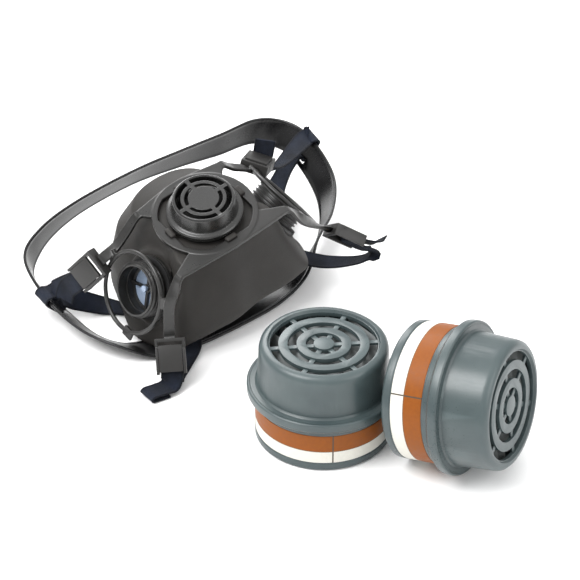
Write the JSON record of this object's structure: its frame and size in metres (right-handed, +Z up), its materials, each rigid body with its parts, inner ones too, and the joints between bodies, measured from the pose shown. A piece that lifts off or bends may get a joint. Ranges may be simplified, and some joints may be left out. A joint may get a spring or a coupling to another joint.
{
  "type": "half-mask respirator with detached filter cartridges",
  "caption": "Half-mask respirator with an exhalation valve, inhalation ports, strap harness and head cradle, resting beside its detached filter cartridges.",
  "frame": {"origin": "middle of the whole group's bounding box at table level", "axes": "+Z up from the table; +Y roughly from the mask's chin to its nose; +X towards the wearer's left side of the group (viewer's right when looking along +Y)"},
  "size_m": [0.2624, 0.4196, 0.1153],
  "materials": {
    "facepiece_rubber": "matte",
    "frame_plastic": "satin",
    "valve_plastic": "satin",
    "valve_membrane": "satin",
    "port_plastic": "satin",
    "gasket_rubber": "matte",
    "cradle_plastic": "semi-gloss",
    "strap_webbing": "woven",
    "cartridge_plastic": "satin",
    "filter_paper": "matte",
    "carbon": "matte",
    "grid_plastic": "matte",
    "label_print": "satin"
  },
  "bodies": {
    "mask": {"facepiece": "facepiece_rubber", "harness_frame": "frame_plastic", "exhalation_valve_seat": "valve_plastic", "head_cradle": "cradle_plastic", "left_strap": "strap_webbing", "right_strap": "strap_webbing", "port_connector_left": "port_plastic", "port_nut_left": "port_plastic", "port_gasket_left": "gasket_rubber", "port_connector_right": "port_plastic", "port_nut_right": "port_plastic", "port_gasket_right": "gasket_rubber", "buckle_frame_upper_left": "frame_plastic", "buckle_frame_lower_left": "frame_plastic", "buckle_frame_upper_right": "frame_plastic", "buckle_frame_lower_right": "frame_plastic"},
    "exhalation_disc": {"exhalation_valve_disc": "gasket_rubber"},
    "valve_cover": {"exhalation_valve_cover": "valve_plastic"},
    "inhalation_disc_left": {"inhalation_valve_disc_left": "valve_membrane"},
    "inhalation_disc_right": {"inhalation_valve_disc_right": "valve_membrane"},
    "lever_upper_left": {"buckle_lever_upper_left": "frame_plastic"},
    "lever_lower_left": {"buckle_lever_lower_left": "frame_plastic"},
    "lever_upper_right": {"buckle_lever_upper_right": "frame_plastic"},
    "lever_lower_right": {"buckle_lever_lower_right": "frame_plastic"},
    "cartridge_left": {"cartridge_left_housing": "cartridge_plastic", "cartridge_left_socket_gasket": "gasket_rubber", "cartridge_left_support_grid": "grid_plastic", "cartridge_left_carbon_bed": "carbon", "cartridge_left_retaining_screen": "grid_plastic", "cartridge_left_filter_retainer": "grid_plastic", "cartridge_left_particulate_filter": "filter_paper", "cartridge_left_grille_cover": "cartridge_plastic", "cartridge_left_label": "label_print"},
    "cartridge_right": {"cartridge_right_housing": "cartridge_plastic", "cartridge_right_socket_gasket": "gasket_rubber", "cartridge_right_support_grid": "grid_plastic", "cartridge_right_carbon_bed": "carbon", "cartridge_right_retaining_screen": "grid_plastic", "cartridge_right_filter_retainer": "grid_plastic", "cartridge_right_particulate_filter": "filter_paper", "cartridge_right_grille_cover": "cartridge_plastic", "cartridge_right_label": "label_print"}
  },
  "joints": [
    {"name": "exhalation_valve_lift", "type": "slide", "parent": "mask", "child": "exhalation_disc", "axis": [-0.2109, -0.225, 0.9513], "range_m": [0, 0.0012], "stiffness_N_per_m": 40, "springref_m": -0.0005},
    {"name": "valve_cover_lift_off", "type": "slide", "parent": "mask", "child": "valve_cover", "axis": [-0.2109, -0.225, 0.9513], "range_m": [0, 0.03]},
    {"name": "inhalation_valve_left", "type": "slide", "parent": "mask", "child": "inhalation_disc_left", "axis": [0.9509, 0.1125, -0.2882], "range_m": [0, 0.0015], "stiffness_N_per_m": 40, "springref_m": -0.0005},
    {"name": "inhalation_valve_right", "type": "slide", "parent": "mask", "child": "inhalation_disc_right", "axis": [-0.7401, 0.1125, -0.6631], "range_m": [0, 0.0015], "stiffness_N_per_m": 40, "springref_m": -0.0005},
    {"name": "buckle_lever_upper_left_hinge", "type": "hinge", "parent": "mask", "child": "lever_upper_left", "pos_m": [-0.10916, 0.09188, 0.05762], "axis": [-0.2173, 0.742, 0.6343], "range_deg": [0, 75]},
    {"name": "buckle_lever_lower_left_hinge", "type": "hinge", "parent": "mask", "child": "lever_lower_left", "pos_m": [-0.09609, 0.01808, 0.02741], "axis": [-0.8249, 0.5622, -0.0593], "range_deg": [0, 75]},
    {"name": "buckle_lever_upper_right_hinge", "type": "hinge", "parent": "mask", "child": "lever_upper_right", "pos_m": [0.03152, 0.09574, 0.08892], "axis": [0.5948, -0.7791, -0.1979], "range_deg": [0, 75]},
    {"name": "buckle_lever_lower_right_hinge", "type": "hinge", "parent": "mask", "child": "lever_lower_right", "pos_m": [0.05636, 0.03181, 0.05686], "axis": [-0.0768, -0.8336, 0.5471], "range_deg": [0, 75]},
    {"name": "cartridge_left_lift", "type": "slide", "parent": "mask", "child": "cartridge_left", "axis": [0, 0, 1], "range_m": [0, 0.15]},
    {"name": "cartridge_right_lift", "type": "slide", "parent": "mask", "child": "cartridge_right", "axis": [0, 0, 1], "range_m": [0, 0.15]}
  ]
}
